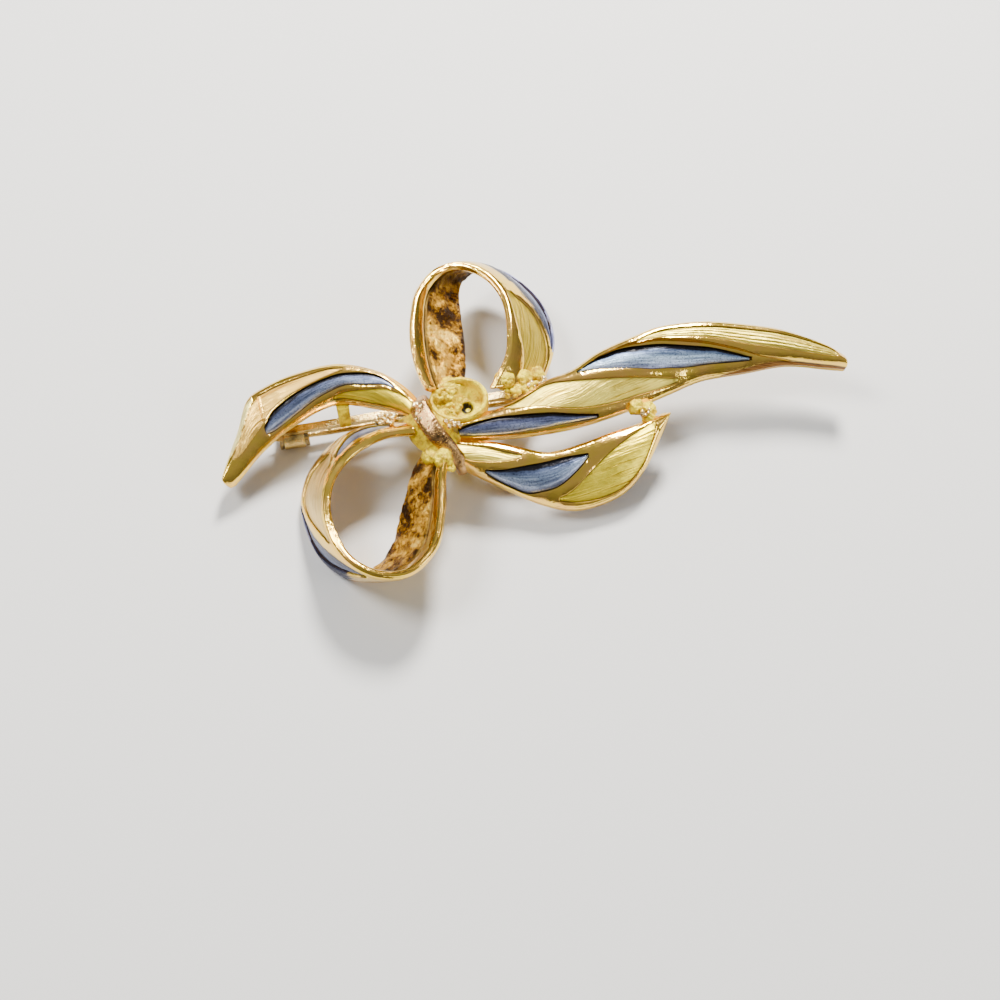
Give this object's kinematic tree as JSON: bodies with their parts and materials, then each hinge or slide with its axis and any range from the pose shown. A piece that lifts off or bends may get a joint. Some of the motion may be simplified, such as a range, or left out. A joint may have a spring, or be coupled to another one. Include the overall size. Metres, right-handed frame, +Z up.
{
  "type": "ribbon bow brooch",
  "caption": "Ribbon bow brooch of cast metal with inlaid enamel stripes, and a hinged pin with a turning safety catch behind it.",
  "frame": {"origin": "the middle of the bottom face of the bounding box, on the surface that the brooch lies on", "axes": "+X along the long tail, +Y past the upper loop, +Z up, away from the wearer"},
  "size_m": [0.0802, 0.045, 0.0102],
  "materials": {
    "gold_plate": "polished",
    "blue_enamel": "glossy",
    "finding_metal": "satin"
  },
  "bodies": {
    "brooch": {"bow_casting": "gold_plate", "enamel_left_tail": "blue_enamel", "enamel_upper_loop": "blue_enamel", "enamel_lower_loop_front": "blue_enamel", "enamel_lower_loop_side": "blue_enamel", "enamel_long_tail_low": "blue_enamel", "enamel_long_tail_high": "blue_enamel", "enamel_short_tail": "blue_enamel", "pin_bar": "finding_metal", "hinge_rivet": "finding_metal"},
    "stem": {"pin_stem": "finding_metal"},
    "catch": {"catch_tube": "finding_metal"}
  },
  "joints": [
    {"name": "pin_swing", "type": "hinge", "parent": "brooch", "child": "stem", "pos_m": [0.0062, 0.00277, 0.00132], "axis": [0, -1, 0], "range_deg": [0, 100]},
    {"name": "catch_turn", "type": "hinge", "parent": "brooch", "child": "catch", "pos_m": [-0.0305, 0.00277, 0.00132], "axis": [1, 0, 0], "range_deg": [0, 100]}
  ]
}
